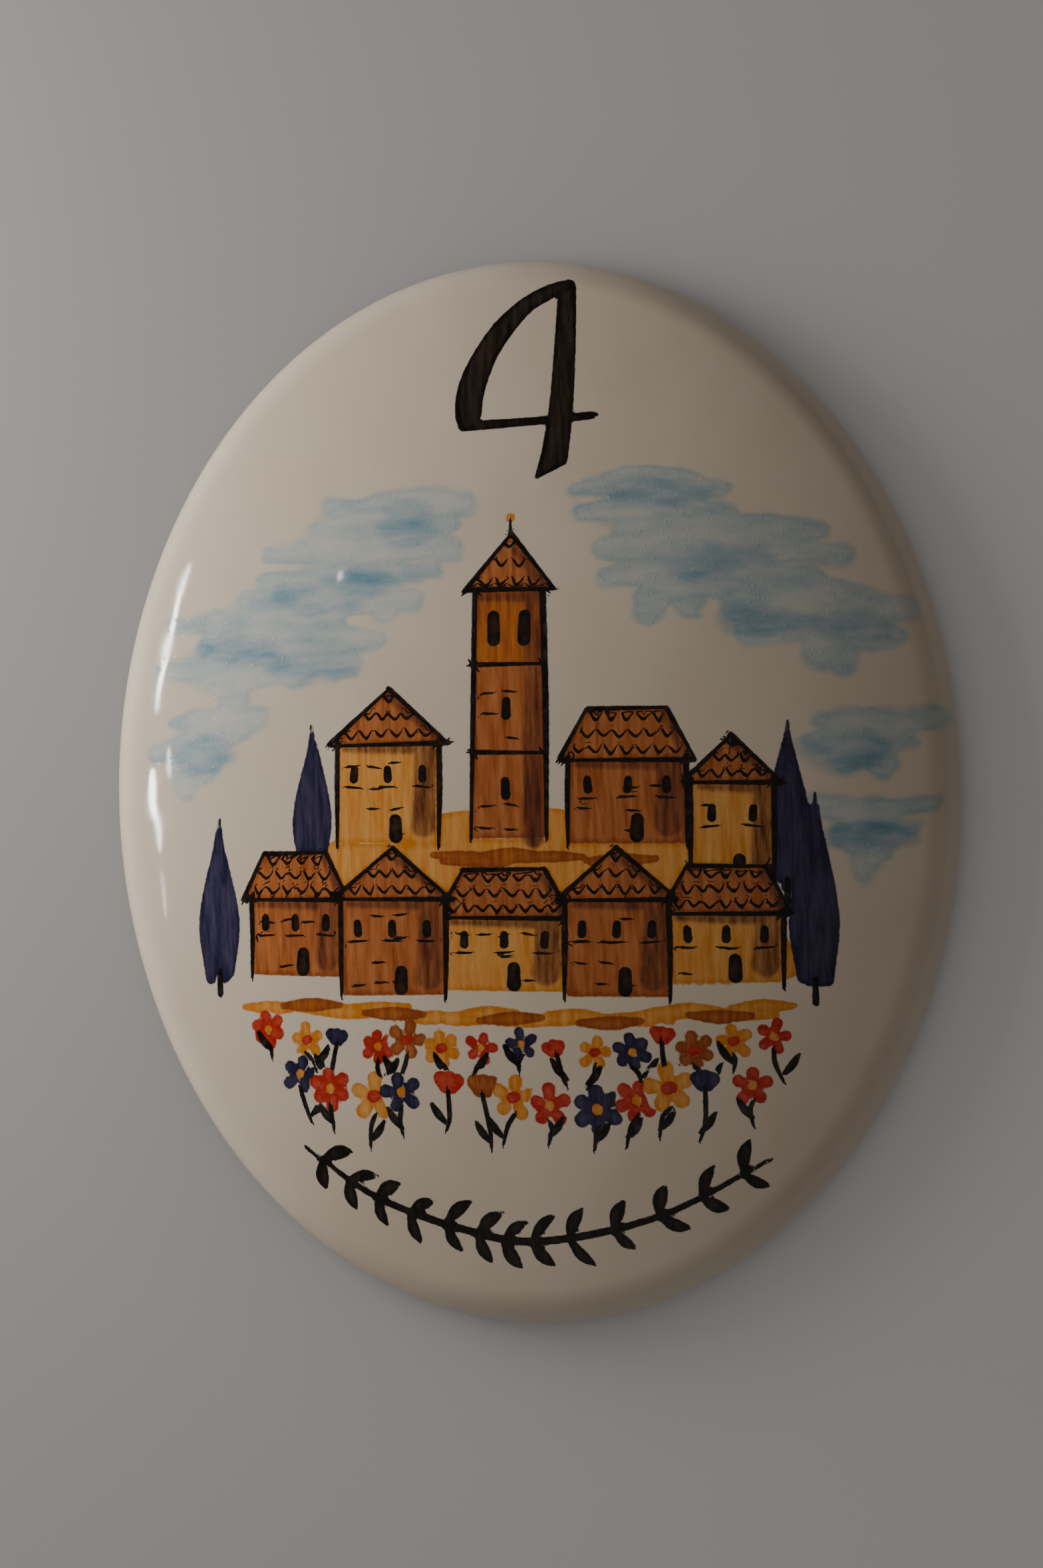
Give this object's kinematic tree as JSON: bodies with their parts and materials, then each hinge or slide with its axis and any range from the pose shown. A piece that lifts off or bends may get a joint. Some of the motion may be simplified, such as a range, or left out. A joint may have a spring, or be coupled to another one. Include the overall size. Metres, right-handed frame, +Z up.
{
  "type": "house number plaque",
  "caption": "Oval domed house number plaque of glazed, hand-painted earthenware, hollow behind, with a flat ring that seats on a wall.",
  "frame": {"origin": "middle of the oval, on the plane of the wall that the plaque is set on", "axes": "+X to the reader's right, +Y into the wall, +Z up; the domed front faces -Y"},
  "size_m": [0.2, 0.028, 0.25],
  "materials": {
    "painted_glaze": "glossy cream tin glaze painted by brush, bare fired clay behind"
  },
  "bodies": {
    "root": {"plaque": "painted_glaze"}
  },
  "joints": []
}
